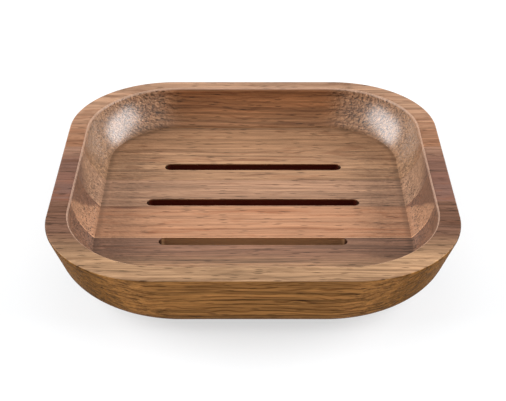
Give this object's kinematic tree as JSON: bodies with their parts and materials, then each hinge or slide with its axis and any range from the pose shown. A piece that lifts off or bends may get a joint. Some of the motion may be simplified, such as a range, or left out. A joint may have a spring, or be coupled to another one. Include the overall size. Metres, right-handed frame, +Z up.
{
  "type": "soap dish",
  "caption": "Square wooden soap dish with rounded corners, a carved tray with drain slots, and rubber bumpers that hold it off the worktop.",
  "frame": {"origin": "on the worktop plane under the middle of the dish, at the bumpers' contact faces", "axes": "+Z up out of the tray, -Y towards the front of the dish, +X along the grain and the drain slots"},
  "size_m": [0.1276, 0.1276, 0.0218],
  "materials": {
    "back_wood": "semi-gloss lacquer",
    "rear_middle_wood": "semi-gloss lacquer",
    "front_middle_wood": "semi-gloss lacquer",
    "front_wood": "semi-gloss lacquer",
    "wood_glue": "matte",
    "bumper_rubber": "matte"
  },
  "bodies": {
    "root": {"back_stave": "back_wood", "rear_middle_stave": "rear_middle_wood", "front_middle_stave": "front_middle_wood", "front_stave": "front_wood", "rear_glue_line": "wood_glue", "middle_glue_line": "wood_glue", "front_glue_line": "wood_glue", "front_left_bumper": "bumper_rubber", "front_right_bumper": "bumper_rubber", "back_left_bumper": "bumper_rubber", "back_right_bumper": "bumper_rubber"}
  },
  "joints": []
}
